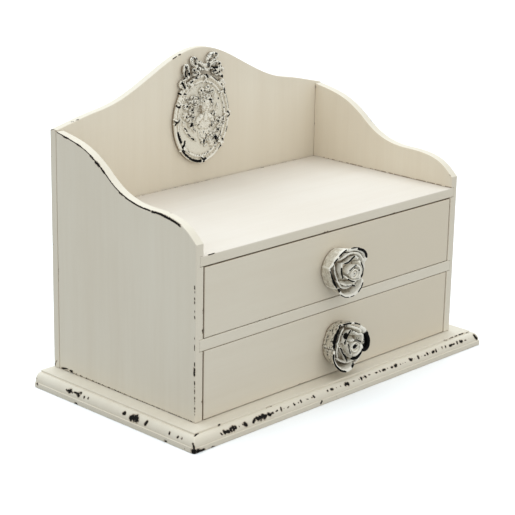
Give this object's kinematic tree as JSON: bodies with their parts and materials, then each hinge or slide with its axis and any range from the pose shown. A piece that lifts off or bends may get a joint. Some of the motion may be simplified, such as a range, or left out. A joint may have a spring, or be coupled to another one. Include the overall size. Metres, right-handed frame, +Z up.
{
  "type": "jewellery chest with drawers",
  "caption": "Small painted jewellery chest: moulded base, stacked pull-out drawers with cast rose knobs, display shelf between curved sides, shaped crest with an oval cameo.",
  "frame": {"origin": "middle of the base board's flat underside", "axes": "+Z up, the drawer fronts face -Y, +X to the right of someone facing the drawers and along the chest's longest side"},
  "size_m": [0.338, 0.1841, 0.2522],
  "materials": {
    "cream_paint": "cream chalky paint on board, rubbed through to near black along the edges",
    "cast_paint": "cream paint on a cast resin piece, rubbed through to black on the high edges",
    "bare_board": "bare sanded plywood",
    "felt": "short cream-beige felt",
    "zinc_steel": "bright zinc plate"
  },
  "bodies": {
    "chest": {"base_board": "cream_paint", "left_side_panel": "cream_paint", "right_side_panel": "cream_paint", "back_panel": "cream_paint", "display_shelf": "cream_paint", "drawer_divider": "cream_paint", "cast_medallion": "cast_paint", "base_screw_1": "zinc_steel", "base_screw_2": "zinc_steel", "base_screw_3": "zinc_steel", "base_screw_4": "zinc_steel"},
    "upper_drawer": {"upper_drawer_front": "cream_paint", "upper_drawer_left_side": "bare_board", "upper_drawer_right_side": "bare_board", "upper_drawer_back": "bare_board", "upper_drawer_bottom": "bare_board", "upper_drawer_lining": "felt", "upper_rose_knob": "cast_paint", "upper_knob_washer": "zinc_steel", "upper_knob_screw": "zinc_steel"},
    "lower_drawer": {"lower_drawer_front": "cream_paint", "lower_drawer_left_side": "bare_board", "lower_drawer_right_side": "bare_board", "lower_drawer_back": "bare_board", "lower_drawer_bottom": "bare_board", "lower_drawer_lining": "felt", "lower_rose_knob": "cast_paint", "lower_knob_washer": "zinc_steel", "lower_knob_screw": "zinc_steel"}
  },
  "joints": [
    {"name": "upper_drawer_slide", "type": "slide", "parent": "chest", "child": "upper_drawer", "axis": [0, -1, 0], "range_m": [0, 0.12]},
    {"name": "lower_drawer_slide", "type": "slide", "parent": "chest", "child": "lower_drawer", "axis": [0, -1, 0], "range_m": [0, 0.12]}
  ]
}
